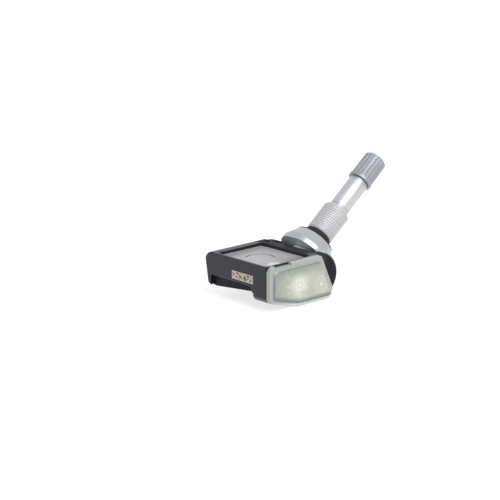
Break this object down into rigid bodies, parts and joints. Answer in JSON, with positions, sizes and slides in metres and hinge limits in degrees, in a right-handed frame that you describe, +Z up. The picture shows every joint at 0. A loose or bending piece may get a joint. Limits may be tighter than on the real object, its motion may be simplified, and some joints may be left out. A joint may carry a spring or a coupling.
{
  "type": "tyre pressure sensor",
  "caption": "Tyre pressure sensor: black moulded case with resin-filled pocket and milky end window, and a swivelling clamp-in metal valve with rubber seal and ribbed cap.",
  "frame": {"origin": "centre of the whole part's box, on the surface it rests on", "axes": "+Z up; +Y from the case's front wall towards the valve; +X along the swivel axis towards the window"},
  "size_m": [0.0408, 0.0884, 0.0528],
  "materials": {
    "case_black": "satin moulded",
    "window_milky": "frosted translucent",
    "resin_grey": "rough cast",
    "port_pale": "matt moulded",
    "filter_white": "fine mesh",
    "board_green": "solder mask",
    "chip_black": "moulded",
    "cell_steel": "nickel plated",
    "tab_nickel": "rolled strip",
    "ferrite_dark": "sintered",
    "copper": "enamelled wire",
    "crystal_can": "plated can",
    "ceramic_tan": "fired ceramic",
    "stem_aluminium": "turned satin",
    "rubber_black": "moulded",
    "screw_steel": "zinc plated",
    "core_brass": "turned",
    "core_rubber": "moulded",
    "spring_steel": "drawn wire",
    "cap_grey": "satin moulded"
  },
  "bodies": {
    "sensor_body": {"housing": "case_black", "end_lid": "window_milky", "potting": "resin_grey", "port_ring": "port_pale", "port_filter": "filter_white", "circuit_board": "board_green", "sensor_chip": "chip_black", "coin_cell": "cell_steel", "cell_tab_upper": "tab_nickel", "cell_tab_lower": "tab_nickel", "ferrite_core": "ferrite_dark", "coil_winding": "copper", "crystal": "crystal_can", "chip_capacitors": "ceramic_tan", "antenna": "tab_nickel"},
    "valve": {"valve_stem": "stem_aluminium", "grommet": "rubber_black", "fixing_screw": "screw_steel", "saddle_washer": "screw_steel", "core_body": "core_brass", "core_gasket": "core_rubber", "core_spring": "spring_steel"},
    "core_pin": {"core_pin": "core_brass", "core_seal": "core_rubber"},
    "cap_seal": {"cap_seal": "rubber_black"},
    "cap": {"cap": "cap_grey"}
  },
  "joints": [
    {"name": "valve_swivel", "type": "hinge", "parent": "sensor_body", "child": "valve", "pos_m": [-0.0024, -0.00921, 0.0088], "axis": [1, 0, 0], "range_deg": [-15, 15]},
    {"name": "core_press", "type": "slide", "parent": "valve", "child": "core_pin", "axis": [0, -0.7815, -0.6239], "range_m": [0, 0.0015], "stiffness_N_per_m": 300, "springref_m": -0.003, "deforming": ["core_spring"]},
    {"name": "cap_rise", "type": "slide", "parent": "valve", "child": "cap_seal", "axis": [0, 0.7815, 0.6239], "range_m": [0, 0.00635]},
    {"name": "cap_turn", "type": "hinge", "parent": "cap_seal", "child": "cap", "pos_m": [-0.0024, 0.03073, 0.04068], "axis": [0, 0.7815, 0.6239], "range_deg": [0, 2880]}
  ],
  "couplings": [
    {"joint": "cap_turn", "follows": "cap_rise", "rad_per_m": 7913.3}
  ]
}
